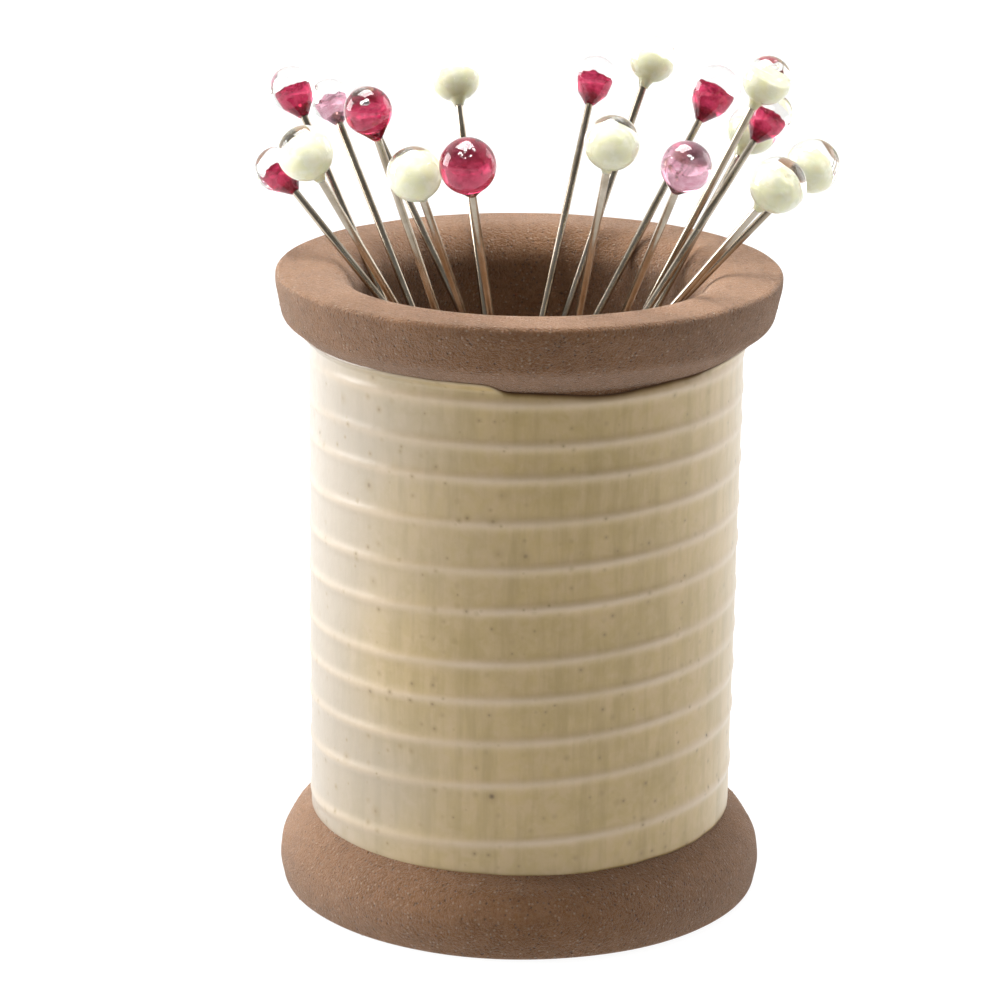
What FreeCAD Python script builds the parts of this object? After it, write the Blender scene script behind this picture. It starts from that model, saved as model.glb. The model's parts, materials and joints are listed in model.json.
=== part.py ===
import FreeCAD
import Part
import Sketcher
import os

# A stoneware thread reel that keeps dressmaking pins.  The reel is one fired piece of
# brown clay with two bare flanges, a well sunk in its top and a speckled glaze coat with
# raised throwing rings on its barrel.  A disc magnet lies on the floor of the well.
# Nineteen glass-headed steel pins stand on the magnet and lean on the lip of the well.
#
# Frame: millimetres, +Z up, origin at the middle of the base, front of the reel to -Y.
# Every pin is built with its point at its own origin and its shaft along its own +Z.

Vector = FreeCAD.Vector

# ---------------------------------------------------------------------------
# Driving dimensions (millimetres and degrees)
# ---------------------------------------------------------------------------

DIMENSIONS = {
    # reel outline, from the base up
    "base_radius": 19.1,
    "foot_side_radius": 19.6,
    "foot_side_height": 1.2,
    "foot_edge_round": 1.5,
    "foot_shoulder_round": 5.0,
    "foot_top": 6.2,
    "barrel_radius": 16.9,
    "flange_bottom": 45.3,
    "flange_under_radius": 19.0,
    "flange_under_height": 46.9,
    "flange_corner_round": 4.0,
    "flange_corner_height": 49.2,
    "flange_radius": 20.0,
    "flange_side_height": 50.4,
    "flange_edge_round": 0.7,
    "rim_radius": 19.5,
    "reel_height": 51.0,
    # well and magnet
    "well_radius": 13.5,
    "well_depth": 21.0,
    "well_floor_round": 2.0,
    "lip_round": 3.0,
    "magnet_radius": 10.0,
    "magnet_height": 3.0,
    "magnet_edge": 0.3,
    # glaze coat
    "glaze_radius": 17.2,
    "ridge_height": 0.12,
    "ridge_width": 0.8,
    "ridge_pitch": 3.52,
    "ridge_first": 9.0,
    "ridge_count": 11,
    # pins
    "pin_reach": 36.0,
    "pin_lift": 0.05,
    "shaft_radius": 0.3,
    "shaft_point": 2.6,
    "shaft_point_tip": 0.04,
    "seat_share": 0.7,
    "cream_gather_latitude": -22.0,
    "cream_neck_latitude": -68.0,
    "cream_neck_length": 0.7,
    "pink_gather_latitude": -14.0,
    "pink_neck_latitude": -38.0,
    "neck_radius": 0.42,
}

# The pins as they stand in the well.  The bearing is counted from +X towards +Y and the
# lean from upright, both in degrees.  The point's place on the magnet and the head's
# diameter are in millimetres.
#            name        bearing lean point_x point_y head
PINS = (
    ("pink_pin_1", 137, 34, -4.5, -3.0, 3.7),
    ("pink_pin_2", 127, 38, -3.0, -3.5, 3.4),
    ("pink_pin_3", 219, 22, -1.5, -7.5, 3.6),
    ("pink_pin_4", 149, 47, 2.5, -9.0, 3.6),
    ("cream_pin_1", 221, 34, -1.5, -1.5, 4.2),
    ("cream_pin_2", 103, 36, -1.5, 0.5, 4.2),
    ("cream_pin_3", 246, 35, 0.0, -1.0, 4.1),
    ("pink_pin_5", 258, 32, -0.5, -3.0, 4.2),
    ("pink_pin_6", 130, 41, 1.5, -0.5, 3.4),
    ("pink_pin_7", 71, 36, -1.5, 1.5, 3.7),
    ("cream_pin_4", 52, 30, -1.0, 5.0, 3.9),
    ("cream_pin_5", 286, 27, 1.5, -4.5, 4.1),
    ("pink_pin_8", 40, 36, -1.0, 3.0, 4.2),
    ("pink_pin_9", 299, 33, 2.0, -2.0, 3.8),
    ("cream_pin_6", 344, 26, 3.5, 8.5, 3.9),
    ("pink_pin_10", 30, 37, 0.5, -2.5, 3.7),
    ("cream_pin_7", 48, 42, 2.0, -5.5, 4.1),
    ("cream_pin_8", 326, 40, -0.5, 0.0, 4.3),
    ("cream_pin_9", 357, 42, -2.0, -0.5, 4.3),
)
PIN_CELLS = ("bearing", "lean", "point_x", "point_y", "head")

doc = FreeCAD.newDocument("PinReel")
parts = []


# ---------------------------------------------------------------------------
# The sheet
# ---------------------------------------------------------------------------

def fill_sheet():
    """Put every driving dimension in the sheet, one aliased cell each."""
    sheet = doc.addObject("Spreadsheet::Sheet", "Sizes")
    rows = list(DIMENSIONS.items())
    for name, *values in PINS:
        rows += [(f"{name}_{cell}", value) for cell, value in zip(PIN_CELLS, values)]
    for row, (alias, value) in enumerate(rows, start=1):
        sheet.set(f"A{row}", alias)
        sheet.set(f"B{row}", str(value))
        sheet.setAlias(f"B{row}", alias)
    doc.recompute()
    return sheet


sizes = fill_sheet()


def size(alias):
    """The number in an aliased cell."""
    return float(getattr(sizes, alias))


def bind(feature, **expressions):
    """Tie properties to the sheet.  Names in an expression after $ are aliases."""
    for name, expression in expressions.items():
        feature.setExpression(name, expression.replace("$", "Sizes."))


# ---------------------------------------------------------------------------
# Sketched pieces
# ---------------------------------------------------------------------------

def new_body(label):
    """A named PartDesign body that counts as one piece of the object."""
    body = doc.addObject("PartDesign::Body", label)
    body.Label = label
    parts.append(body)
    return body


def origin_item(body, role):
    """One of the body's own origin planes or axes."""
    return next(item for item in body.Origin.OriginFeatures if item.Role == role)


def new_sketch(body, name, role):
    """A sketch on one of the body's own origin planes."""
    sketch = body.newObject("Sketcher::SketchObject", f"{body.Name}_{name}")
    sketch.AttachmentSupport = (origin_item(body, role), [""])
    sketch.MapMode = "FlatFace"
    return sketch


def dimension(sketch, kind, where, value, expression):
    """Add a driving constraint whose value follows an expression."""
    index = sketch.addConstraint(Sketcher.Constraint(kind, *where, value))
    sketch.setExpression(f"Constraints[{index}]", expression.replace("$", "Sizes."))


def hold_end(sketch, edge, end, radius, height):
    """Hold one end of an edge at a radius and a height taken from the sheet.

    None in place of an alias holds the end on the sketch's own axis.
    """
    for kind, alias, axis in (("DistanceX", radius, -2), ("DistanceY", height, -1)):
        if alias is None:
            sketch.addConstraint(Sketcher.Constraint("PointOnObject", edge, end, axis))
        else:
            dimension(sketch, kind, (-1, 1, edge, end), size(alias), f"${alias}")


def draw_circle(sketch, alias):
    """Draw a circle round the sketch's origin with a radius taken from the sheet."""
    circle = Part.Circle(Vector(0, 0, 0), Vector(0, 0, 1), size(alias))
    edge = sketch.addGeometry(circle, False)
    sketch.addConstraint(Sketcher.Constraint("Coincident", edge, 3, -1, 1))
    dimension(sketch, "Radius", (edge,), size(alias), f"${alias}")


def draw_outline(sketch, corners):
    """Draw a closed half section as lines and outward arcs.

    Each corner is (radius alias, height alias, round alias), where the round is that of
    the arc which arrives at the corner, or None where a straight line arrives there.
    """
    places = [
        Vector(size(radius) if radius else 0, size(height) if height else 0, 0)
        for radius, height, _ in corners
    ]
    edges = []
    for number, (_, _, rounding) in enumerate(corners):
        start = places[number - 1]
        end = places[number]
        if rounding is None:
            edges.append(sketch.addGeometry(Part.LineSegment(start, end), False))
            continue
        half = (end - start) * 0.5
        across = Vector(half.y, -half.x, 0).normalize()
        reach = size(rounding)
        sagitta = reach - (reach ** 2 - half.Length ** 2) ** 0.5
        arc = Part.Arc(start, start + half + across * sagitta, end)
        edges.append(sketch.addGeometry(arc, False))
    for edge, following in zip(edges, edges[1:] + edges[:1]):
        sketch.addConstraint(Sketcher.Constraint("Coincident", edge, 2, following, 1))
    for edge, (radius, height, rounding) in zip(edges, corners):
        hold_end(sketch, edge, 2, radius, height)
        if rounding:
            dimension(sketch, "Radius", (edge,), size(rounding), f"${rounding}")


def revolve(body, sketch, name):
    """Turn a half section into a solid about the body's own upright axis."""
    feature = body.newObject("PartDesign::Revolution", f"{body.Name}_{name}")
    feature.Profile = sketch
    feature.ReferenceAxis = (sketch, ["V_Axis"])
    feature.Angle = 360
    doc.recompute()
    return feature


def round_edges_at(shape, radius, height):
    """Names of the round edges of a given radius at a given height."""
    return [
        f"Edge{number}"
        for number, edge in enumerate(shape.Edges, start=1)
        if isinstance(edge.Curve, Part.Circle)
        and abs(edge.Curve.Radius - radius) < 0.01
        and abs(edge.Curve.Center.z - height) < 0.01
    ]


def round_edge(body, name, radius, height, alias):
    """Fillet the round edge at a radius and height by a size from the sheet."""
    base = body.Tip
    fillet = body.newObject("PartDesign::Fillet", f"{body.Name}_{name}")
    fillet.Base = (base, round_edges_at(base.Shape, radius, height))
    bind(fillet, Radius=f"${alias}")
    doc.recompute()
    return fillet


# ---------------------------------------------------------------------------
# The reel: clay, magnet and glaze
# ---------------------------------------------------------------------------

def make_reel():
    """One fired piece of clay: two flanges, a barrel and a rounded well."""
    body = new_body("stoneware_spool")
    section = new_sketch(body, "section", "XZ_Plane")
    draw_outline(section, (
        (None, None, None),
        ("base_radius", None, None),
        ("foot_side_radius", "foot_side_height", "foot_edge_round"),
        ("barrel_radius", "foot_top", "foot_shoulder_round"),
        ("barrel_radius", "flange_bottom", None),
        ("flange_under_radius", "flange_under_height", None),
        ("flange_radius", "flange_corner_height", "flange_corner_round"),
        ("flange_radius", "flange_side_height", None),
        ("rim_radius", "reel_height", "flange_edge_round"),
        (None, "reel_height", None),
    ))
    turned = revolve(body, section, "turning")
    whole = turned.Shape.Volume

    mouth = new_sketch(body, "mouth", "XY_Plane")
    draw_circle(mouth, "well_radius")
    mouth.AttachmentOffset = FreeCAD.Placement(Vector(0, 0, size("reel_height")), FreeCAD.Rotation())
    mouth.setExpression("AttachmentOffset.Base.z", "Sizes.reel_height")
    well = body.newObject("PartDesign::Pocket", "stoneware_spool_well")
    well.Profile = mouth
    well.Length = size("well_depth")
    bind(well, Length="$well_depth")
    doc.recompute()
    if well.Shape.Volume > whole - 1:
        raise RuntimeError("the well cut nothing")

    floor = size("reel_height") - size("well_depth")
    round_edge(body, "lip", size("well_radius"), size("reel_height"), "lip_round")
    round_edge(body, "floor_corner", size("well_radius"), floor, "well_floor_round")
    return body


def make_magnet():
    """A disc magnet with broken edges, lying on the floor of the well."""
    body = new_body("disc_magnet")
    face = new_sketch(body, "face", "XY_Plane")
    draw_circle(face, "magnet_radius")
    disc = body.newObject("PartDesign::Pad", "disc_magnet_disc")
    disc.Profile = face
    disc.Length = size("magnet_height")
    bind(disc, Length="$magnet_height")
    doc.recompute()
    broken = body.newObject("PartDesign::Chamfer", "disc_magnet_edge")
    rims = [
        name
        for height in (0, size("magnet_height"))
        for name in round_edges_at(disc.Shape, size("magnet_radius"), height)
    ]
    broken.Base = (disc, rims)
    bind(broken, Size="$magnet_edge")
    floor = size("reel_height") - size("well_depth")
    body.Placement = FreeCAD.Placement(Vector(0, 0, floor), FreeCAD.Rotation())
    return body


def draw_ring(sketch):
    """Draw the section of the lowest ring: a bowed crown on a root sunk in the coat."""
    middle = size("ridge_first")
    half_width = size("ridge_width") / 2
    skin = size("glaze_radius")
    root = (size("barrel_radius") + skin) / 2
    low_root = Vector(root, middle - half_width, 0)
    low_skin = Vector(skin, middle - half_width, 0)
    crest = Vector(skin + size("ridge_height"), middle, 0)
    high_skin = Vector(skin, middle + half_width, 0)
    high_root = Vector(root, middle + half_width, 0)
    bottom = sketch.addGeometry(Part.LineSegment(low_root, low_skin), False)
    crown = sketch.addGeometry(Part.Arc(low_skin, crest, high_skin), False)
    top = sketch.addGeometry(Part.LineSegment(high_skin, high_root), False)
    back = sketch.addGeometry(Part.LineSegment(high_root, low_root), False)
    for edge, following in ((bottom, crown), (crown, top), (top, back), (back, bottom)):
        sketch.addConstraint(Sketcher.Constraint("Coincident", edge, 2, following, 1))
    low = "$ridge_first - $ridge_width / 2"
    high = "$ridge_first + $ridge_width / 2"
    inside = "($barrel_radius + $glaze_radius) / 2"
    for edge, end, place, across, up in (
        (bottom, 1, low_root, inside, low),
        (bottom, 2, low_skin, "$glaze_radius", low),
        (top, 1, high_skin, "$glaze_radius", high),
        (top, 2, high_root, inside, high),
    ):
        dimension(sketch, "DistanceX", (-1, 1, edge, end), place.x, across)
        dimension(sketch, "DistanceY", (-1, 1, edge, end), place.y, up)
    bow = half_width ** 2 / (2 * size("ridge_height")) + size("ridge_height") / 2
    bow_text = "$ridge_width ^ 2 / (8 * $ridge_height) + $ridge_height / 2"
    dimension(sketch, "Radius", (crown,), bow, bow_text)


def make_glaze():
    """A thin coat on the barrel with raised rings at an even pitch."""
    body = new_body("glaze_coat")
    section = new_sketch(body, "section", "XZ_Plane")
    draw_outline(section, (
        ("barrel_radius", "foot_top", None),
        ("glaze_radius", "foot_top", None),
        ("glaze_radius", "flange_bottom", None),
        ("barrel_radius", "flange_bottom", None),
    ))
    revolve(body, section, "coat")

    ring_section = new_sketch(body, "ring_section", "XZ_Plane")
    draw_ring(ring_section)
    ring = revolve(body, ring_section, "ring")

    rings = body.newObject("PartDesign::LinearPattern", "glaze_coat_rings")
    rings.Originals = [ring]
    rings.Direction = (origin_item(body, "Z_Axis"), [""])
    rings.Occurrences = int(size("ridge_count"))
    rings.Length = size("ridge_pitch") * (size("ridge_count") - 1)
    bind(rings, Length="$ridge_pitch * ($ridge_count - 1)", Occurrences="$ridge_count")
    body.Tip = rings
    doc.recompute()
    return body


# ---------------------------------------------------------------------------
# The pins
# ---------------------------------------------------------------------------

def primitive(kind, name, height="", **expressions):
    """A Part primitive tied to the sheet, lifted along its own axis by an expression."""
    feature = doc.addObject(kind, name)
    bind(feature, **expressions)
    if height:
        feature.setExpression("Placement.Base.z", height.replace("$", "Sizes."))
    return feature


def join(kind, name, base, tool):
    """A Part boolean of two features."""
    feature = doc.addObject(kind, name)
    feature.Base = base
    feature.Tool = tool
    return feature


def pin_place(name):
    """Where a pin stands: its point on the magnet, its shaft leaning along its bearing."""
    magnet_top = size("reel_height") - size("well_depth") + size("magnet_height")
    point = Vector(size(f"{name}_point_x"), size(f"{name}_point_y"), magnet_top + size("pin_lift"))
    turn = FreeCAD.Rotation(size(f"{name}_bearing"), size(f"{name}_lean"), 0)
    return FreeCAD.Placement(point, turn)


def make_shaft(name):
    """A steel shaft with a ground point, its blunt end inside the glass."""
    length = f"$pin_reach - $shaft_point - $seat_share * ${name}_head / 2"
    rod = primitive(
        "Part::Cylinder", f"{name}_rod", "$shaft_point", Radius="$shaft_radius", Height=length
    )
    point = primitive(
        "Part::Cone",
        f"{name}_point",
        Radius1="$shaft_point_tip",
        Radius2="$shaft_radius",
        Height="$shaft_point",
    )
    return join("Part::Fuse", f"{name}_shaft", rod, point)


def make_gather(name):
    """The coloured glass round the shaft's end: a ball's lower part and its neck."""
    glass = name.split("_")[0]
    latitude = f"${glass}_neck_latitude"
    radius = f"${name}_head / 2"
    if glass == "cream":
        neck_length = "$cream_neck_length"
    else:
        neck_length = f"({radius} * cos({latitude}) - $neck_radius) / tan(-{latitude})"
    ball = primitive(
        "Part::Sphere",
        f"{name}_ball",
        "$pin_reach",
        Radius=radius,
        Angle1=latitude,
        Angle2=f"${glass}_gather_latitude",
    )
    neck = primitive(
        "Part::Cone",
        f"{name}_neck",
        f"$pin_reach + {radius} * sin({latitude}) - {neck_length}",
        Radius1="$neck_radius",
        Radius2=f"{radius} * cos({latitude})",
        Height=neck_length,
    )
    seat = primitive(
        "Part::Cylinder",
        f"{name}_seat",
        Radius="$shaft_radius",
        Height=f"$pin_reach - $seat_share * {radius}",
    )
    glass_body = join("Part::Fuse", f"{name}_drop", ball, neck)
    return join("Part::Cut", f"{name}_gather", glass_body, seat)


def make_cap(name):
    """The clear glass that closes the ball above the coloured gather."""
    glass = name.split("_")[0]
    return primitive(
        "Part::Sphere",
        f"{name}_cap",
        Radius=f"${name}_head / 2",
        Angle1=f"${glass}_gather_latitude",
        Angle2="90",
    )


def make_pin(name):
    """Three pieces that stand together: shaft, coloured gather and clear cap."""
    stand = pin_place(name)
    head = FreeCAD.Placement(Vector(0, 0, size("pin_reach")), FreeCAD.Rotation())
    shaft = make_shaft(name)
    gather = make_gather(name)
    cap = make_cap(name)
    shaft.Placement = stand
    gather.Placement = stand
    cap.Placement = stand.multiply(head)
    for piece in (shaft, gather, cap):
        piece.Label = piece.Name
        parts.append(piece)


# ---------------------------------------------------------------------------
# Build, check and write
# ---------------------------------------------------------------------------

def check():
    """Stop if a feature failed or a piece is empty or invalid."""
    for item in doc.Objects:
        if {"Invalid", "Error"} & set(item.State):
            raise RuntimeError(f"{item.Name}: {item.State}")
    for piece in parts:
        if piece.Shape.isNull() or not piece.Shape.isValid() or piece.Shape.Volume <= 0:
            raise RuntimeError(f"{piece.Label} has no valid solid")
        if len(piece.Shape.Solids) != 1:
            raise RuntimeError(f"{piece.Label} has {len(piece.Shape.Solids)} solids")


def write():
    """Write each piece to its own file, named after its label."""
    os.makedirs("parts", exist_ok=True)
    for piece in parts:
        piece.Shape.exportStep(os.path.join("parts", f"{piece.Label}.step"))
        print(f"{piece.Label}: {piece.Shape.Volume:.2f} mm3")


make_reel()
make_magnet()
make_glaze()
for pin in PINS:
    make_pin(pin[0])
doc.recompute()
check()
write()
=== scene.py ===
"""Looks of a stoneware thread reel that holds glass-headed pins.

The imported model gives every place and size.  The reel is a turned clay body with a speckled
glaze coat on its barrel, and each pin is a steel shaft with a clear glass head round a gather
of coloured glass.  Lengths named ``*_MM`` are millimetres, everything else is in metres.
"""

import json
import logging
import math
from dataclasses import dataclass, field
from enum import Enum
from typing import Callable, Sequence

import bmesh
import bpy
import numpy as np
from mathutils import Matrix, Vector, noise


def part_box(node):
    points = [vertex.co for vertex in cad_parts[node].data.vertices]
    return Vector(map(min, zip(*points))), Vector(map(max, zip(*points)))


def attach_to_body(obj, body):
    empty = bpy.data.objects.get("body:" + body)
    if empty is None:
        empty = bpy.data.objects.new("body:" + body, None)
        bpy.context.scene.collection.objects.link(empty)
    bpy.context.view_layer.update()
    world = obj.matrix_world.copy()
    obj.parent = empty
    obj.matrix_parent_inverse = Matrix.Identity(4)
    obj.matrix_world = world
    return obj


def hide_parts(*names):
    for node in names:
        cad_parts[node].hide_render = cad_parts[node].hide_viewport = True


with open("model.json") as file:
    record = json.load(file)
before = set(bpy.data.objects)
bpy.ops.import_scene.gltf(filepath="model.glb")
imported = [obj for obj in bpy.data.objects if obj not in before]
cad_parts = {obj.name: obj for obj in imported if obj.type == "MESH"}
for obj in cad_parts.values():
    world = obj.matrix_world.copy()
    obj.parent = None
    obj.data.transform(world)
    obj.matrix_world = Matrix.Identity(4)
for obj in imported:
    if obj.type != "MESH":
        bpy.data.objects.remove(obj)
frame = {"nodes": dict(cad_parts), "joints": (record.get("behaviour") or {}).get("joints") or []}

log = logging.getLogger("pin_reel")

MM = 0.001
Colour = tuple[float, float, float]
Point = tuple[float, float]
Point3 = tuple[float, float, float]


# ---------------------------------------------------------------------------
# Node tree helpers
# ---------------------------------------------------------------------------

class Graph:
    """A thin helper round a node tree that makes and joins nodes."""

    def __init__(self, tree: bpy.types.NodeTree) -> None:
        self.tree = tree

    def node(self, kind: str, inputs: dict | None = None, **settings) -> bpy.types.Node:
        """Add a node.

        Args:
            kind: The node's Blender type name.
            inputs: Values or sockets for its inputs, by name or number.
            settings: Properties set on the node before its inputs.

        Returns:
            The new node.
        """
        made = self.tree.nodes.new(kind)
        for name, value in settings.items():
            setattr(made, name, value)
        for key, value in (inputs or {}).items():
            if isinstance(value, bpy.types.NodeSocket):
                self.tree.links.new(value, made.inputs[key])
            else:
                made.inputs[key].default_value = value
        return made

    def math(self, operation: str, first, second=0.0, third=0.0):
        """Add a Math node and return its output socket."""
        made = self.node("ShaderNodeMath", {0: first, 1: second, 2: third}, operation=operation)
        return made.outputs[0]

    def ramp(self, factor, stops: Sequence[tuple[float, float]]):
        """Add a grey Color Ramp from (place, value) stops and return its output socket."""
        made = self.node("ShaderNodeValToRGB", {"Fac": factor})
        elements = made.color_ramp.elements
        while len(elements) < len(stops):
            elements.new(0.5)
        for element, (place, value) in zip(elements, stops):
            element.position = place
            element.color = (value, value, value, 1.0)
        return made.outputs["Color"]

    def noise(self, vector, scale: float, detail: float = 3.0, rough: float = 0.55):
        """Add a Noise texture and return its factor socket."""
        made = self.node(
            "ShaderNodeTexNoise",
            {"Vector": vector, "Scale": scale, "Detail": detail, "Roughness": rough},
        )
        return made.outputs["Fac"]

    def mix(self, factor, first, second):
        """Mix two colours, each a socket or a colour, and return the result socket."""
        made = self.node("ShaderNodeMix", data_type="RGBA")
        for place, value in ((0, factor), (6, first), (7, second)):
            if isinstance(value, bpy.types.NodeSocket):
                self.tree.links.new(value, made.inputs[place])
            elif place:
                made.inputs[place].default_value = (*value, 1.0)
            else:
                made.inputs[place].default_value = value
        return made.outputs[2]


def new_group(name: str, inputs: dict[str, tuple[str, float]], outputs: dict[str, str]) -> tuple:
    """Start a shader node group.

    Args:
        name: The group's name.
        inputs: Socket kind and default value by name.
        outputs: Socket kind by name.

    Returns:
        The tree, a Graph for it, its input node and its output node.
    """
    tree = bpy.data.node_groups.new(name, "ShaderNodeTree")
    for label, (kind, default) in inputs.items():
        socket = tree.interface.new_socket(label, in_out="INPUT", socket_type=kind)
        if kind == "NodeSocketFloat":
            socket.default_value = default
    for label, kind in outputs.items():
        tree.interface.new_socket(label, in_out="OUTPUT", socket_type=kind)
    graph = Graph(tree)
    return tree, graph, graph.node("NodeGroupInput"), graph.node("NodeGroupOutput")


def use_group(graph: Graph, tree: bpy.types.NodeTree, **inputs) -> bpy.types.Node:
    """Place a shader group in a tree, with inputs by name (underscores stand for spaces)."""
    named = {name.replace("_", " "): value for name, value in inputs.items()}
    made = graph.node("ShaderNodeGroup", node_tree=tree)
    for key, value in named.items():
        if isinstance(value, bpy.types.NodeSocket):
            graph.tree.links.new(value, made.inputs[key])
        else:
            made.inputs[key].default_value = value
    return made


# ---------------------------------------------------------------------------
# Shared surface effects, as shader groups
# ---------------------------------------------------------------------------

class Effects:
    """Shader groups that several finishes share.  They put out only masks and heights."""

    def __init__(self) -> None:
        self.millimetres = self._millimetres()
        self.sand_grain = self._sand_grain()
        self.specks = self._specks()
        self.mottle = self._mottle()

    @staticmethod
    def _millimetres() -> bpy.types.NodeTree:
        """Object coordinates counted in millimetres."""
        tree, graph, _, out = new_group("Millimetres", {}, {"Vector": "NodeSocketVector"})
        place = graph.node("ShaderNodeTexCoord").outputs["Object"]
        scaled = graph.node("ShaderNodeVectorMath", {0: place, "Scale": 1000.0}, operation="SCALE")
        tree.links.new(scaled.outputs[0], out.inputs["Vector"])
        return tree

    @staticmethod
    def _sand_grain() -> bpy.types.NodeTree:
        """Coarse and fine sand in fired clay: a height, light grains and dark grains."""
        tree, graph, given, out = new_group(
            "SandGrain",
            {"Vector": ("NodeSocketVector", 0.0), "Grains per mm": ("NodeSocketFloat", 4.0)},
            {"Height": "NodeSocketFloat", "Light": "NodeSocketFloat", "Dark": "NodeSocketFloat"},
        )
        place = given.outputs["Vector"]
        density = given.outputs["Grains per mm"]
        fine = graph.noise(place, 9.0, 4.0, 0.65)
        cells = graph.node("ShaderNodeTexVoronoi", {"Vector": place, "Scale": density})
        grain = graph.ramp(cells.outputs["Distance"], ((0.12, 1.0), (0.42, 0.0)))
        chosen = graph.node("ShaderNodeSeparateColor", {0: cells.outputs["Color"]})
        few = graph.ramp(chosen.outputs[0], ((0.74, 0.0), (0.80, 1.0)))
        some = graph.ramp(chosen.outputs[1], ((0.66, 0.0), (0.74, 1.0)))
        light = graph.math("MULTIPLY", grain, few)
        dark = graph.math("MULTIPLY", grain, some)
        lift = graph.math("MULTIPLY", light, 0.7)
        pits = graph.math("MULTIPLY", dark, 0.5)
        rough = graph.math("ADD", fine, lift)
        tree.links.new(graph.math("SUBTRACT", rough, pits), out.inputs["Height"])
        tree.links.new(light, out.inputs["Light"])
        tree.links.new(dark, out.inputs["Dark"])
        return tree

    @staticmethod
    def _specks() -> bpy.types.NodeTree:
        """Sparse round specks of uneven size, thinned out by a share."""
        tree, graph, given, out = new_group(
            "Specks",
            {
                "Vector": ("NodeSocketVector", 0.0),
                "Specks per mm": ("NodeSocketFloat", 1.0),
                "Share": ("NodeSocketFloat", 0.1),
                "Size": ("NodeSocketFloat", 0.1),
            },
            {"Mask": "NodeSocketFloat", "Halo": "NodeSocketFloat"},
        )
        cells = graph.node(
            "ShaderNodeTexVoronoi",
            {"Vector": given.outputs["Vector"], "Scale": given.outputs["Specks per mm"]},
        )
        parts = graph.node("ShaderNodeSeparateColor", {0: cells.outputs["Color"]})
        chosen = graph.math("LESS_THAN", parts.outputs[0], given.outputs["Share"])
        spread = graph.math("MULTIPLY_ADD", parts.outputs[1], 0.9, 0.45)
        size = graph.math("MULTIPLY", given.outputs["Size"], spread)
        wide = graph.math("MULTIPLY", size, 2.6)
        for label, reach in (("Mask", size), ("Halo", wide)):
            near = graph.node(
                "ShaderNodeMapRange",
                {"Value": cells.outputs["Distance"], "From Min": reach, "From Max": 0.0},
                interpolation_type="SMOOTHSTEP",
            )
            tree.links.new(graph.math("MULTIPLY", near.outputs[0], chosen), out.inputs[label])
        return tree

    @staticmethod
    def _mottle() -> bpy.types.NodeTree:
        """Soft blotches, pulled to more contrast."""
        tree, graph, given, out = new_group(
            "Mottle",
            {"Vector": ("NodeSocketVector", 0.0), "Blotches per mm": ("NodeSocketFloat", 0.3)},
            {"Mask": "NodeSocketFloat"},
        )
        soft = graph.node(
            "ShaderNodeTexNoise",
            {
                "Vector": given.outputs["Vector"],
                "Scale": given.outputs["Blotches per mm"],
                "Detail": 4.0,
                "Roughness": 0.6,
                "Distortion": 0.4,
            },
        )
        tree.links.new(
            graph.ramp(soft.outputs["Fac"], ((0.36, 0.0), (0.64, 1.0))), out.inputs["Mask"]
        )
        return tree


# ---------------------------------------------------------------------------
# Finishes
# ---------------------------------------------------------------------------

def new_material(name: str) -> tuple[bpy.types.Material, Graph, bpy.types.Node]:
    """A material with only a Principled BSDF.

    Args:
        name: The material's name.

    Returns:
        The material, a Graph for its tree and its Principled BSDF.
    """
    material = bpy.data.materials.new(name)
    material.use_nodes = True
    shader = material.node_tree.nodes["Principled BSDF"]
    return material, Graph(material.node_tree), shader


def add_bump(
    graph: Graph, shader: bpy.types.Node, height, depth_mm: float, strength: float
) -> None:
    """Give a shader a bump from a height socket whose value 1 stands for ``depth_mm``."""
    bump = graph.node(
        "ShaderNodeBump", {"Height": height, "Distance": depth_mm * MM, "Strength": strength}
    )
    graph.tree.links.new(bump.outputs[0], shader.inputs["Normal"])


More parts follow.
